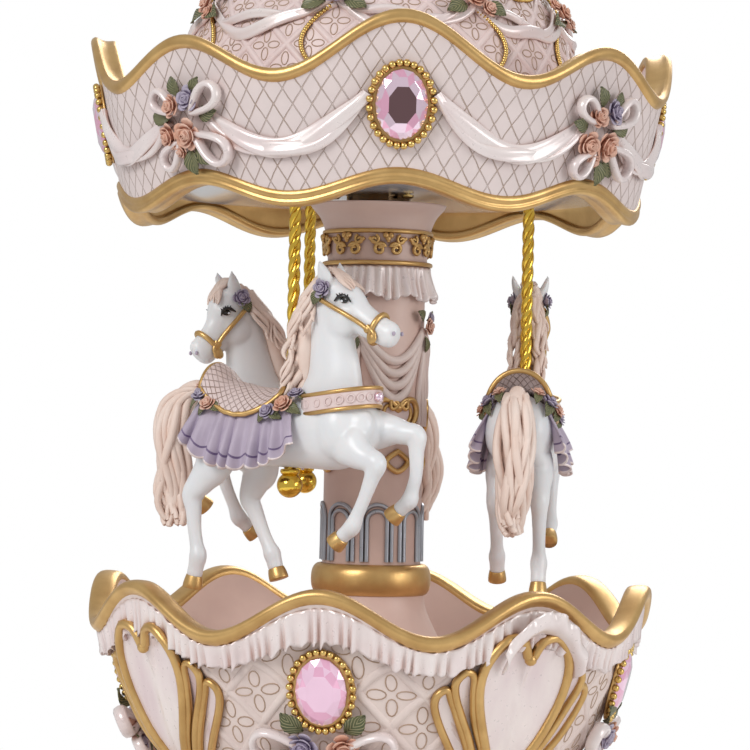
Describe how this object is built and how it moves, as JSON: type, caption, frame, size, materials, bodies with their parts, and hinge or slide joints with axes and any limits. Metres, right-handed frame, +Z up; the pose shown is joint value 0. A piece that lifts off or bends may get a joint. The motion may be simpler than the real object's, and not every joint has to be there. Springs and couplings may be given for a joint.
{
  "type": "wind-up carousel music box",
  "caption": "Wind-up music box: a scalloped bowl on a foot, a column, and a turning domed canopy that carries horses on twisted poles.",
  "frame": {"origin": "centre of the felt ring's underside, on the drive shaft's axis", "axes": "+Z up along the drive shaft, -Y to the front"},
  "size_m": [0.185, 0.185, 0.3131],
  "materials": {
    "pink_resin": "satin cast resin with antique brown wash and gold painted rims",
    "horse_resin": "satin white cast resin with painted gold, black and pastel details",
    "rose_resin": "painted cast resin roses and leaves",
    "pink_stone": "clear faceted acrylic with a silvered back, in a gold beaded mount",
    "white_enamel": "glossy white",
    "gold_paint": "satin gold",
    "brass_plate": "polished brass plate",
    "brass": "machined brass",
    "dark_bronze": "dark bronze, glossy",
    "steel": "bright steel",
    "cast_frame": "plated die casting",
    "felt": "felt",
    "fibre_board": "smooth board"
  },
  "bodies": {
    "base": {"bowl_casting": "pink_resin", "column_casting": "pink_resin", "shaft_bush": "brass", "felt_ring": "felt", "bottom_cover": "fibre_board", "bedplate": "cast_frame", "comb": "steel", "governor_bracket": "cast_frame", "bracket_screw": "steel", "base_jewel_1": "pink_stone", "base_roses_1": "rose_resin", "base_jewel_2": "pink_stone", "base_roses_2": "rose_resin", "base_jewel_3": "pink_stone", "base_roses_3": "rose_resin", "base_jewel_4": "pink_stone", "base_roses_4": "rose_resin", "cover_screw_1": "steel", "cover_screw_2": "steel", "cover_screw_3": "steel", "movement_screw_1": "steel", "comb_screw_1": "steel", "movement_screw_2": "steel", "comb_screw_2": "steel"},
    "carousel": {"spring_barrel": "brass", "barrel_cap": "brass", "mainspring": "steel", "drive_shaft": "steel", "hub": "dark_bronze", "hub_screw_1": "brass", "hub_screw_2": "brass", "hub_screw_3": "brass", "shaft_nut": "steel", "canopy_plate": "white_enamel", "valance": "pink_resin", "dome": "pink_resin", "finial": "gold_paint", "canopy_jewel_1": "pink_stone", "canopy_jewel_2": "pink_stone", "canopy_jewel_3": "pink_stone", "canopy_jewel_4": "pink_stone", "canopy_roses_1": "rose_resin", "canopy_roses_2": "rose_resin", "canopy_roses_3": "rose_resin", "canopy_roses_4": "rose_resin", "pole_1": "brass_plate", "pole_ball_1": "brass_plate", "horse_1": "horse_resin", "pole_2": "brass_plate", "pole_ball_2": "brass_plate", "horse_2": "horse_resin", "pole_3": "brass_plate", "pole_ball_3": "brass_plate", "horse_3": "horse_resin"},
    "key": {"winding_key": "brass_plate", "winding_arbor": "steel"},
    "drum": {"pinned_drum": "brass"},
    "governor": {"governor_wheel": "brass"},
    "fly": {"governor_fly": "brass"}
  },
  "joints": [
    {"name": "carousel_spin", "type": "hinge", "parent": "base", "child": "carousel", "pos_m": [0, 0, 0.1], "axis": [0, 0, 1], "continuous": true},
    {"name": "key_wind", "type": "hinge", "parent": "base", "child": "key", "pos_m": [0, 0, 0.0133], "axis": [0, 0, 1], "continuous": true},
    {"name": "drum_spin", "type": "hinge", "parent": "base", "child": "drum", "pos_m": [0.015, 0, 0.02725], "axis": [1, 0, 0], "continuous": true},
    {"name": "governor_spin", "type": "hinge", "parent": "base", "child": "governor", "pos_m": [0.0298, 0.009, 0.02725], "axis": [1, 0, 0], "continuous": true},
    {"name": "fly_spin", "type": "hinge", "parent": "base", "child": "fly", "pos_m": [0.0306, 0.0145, 0.02725], "axis": [0, 0, 1], "continuous": true}
  ],
  "couplings": [
    {"joint": "drum_spin", "follows": "carousel_spin", "ratio": -3},
    {"joint": "governor_spin", "follows": "carousel_spin", "ratio": 12},
    {"joint": "fly_spin", "follows": "carousel_spin", "ratio": -240}
  ]
}
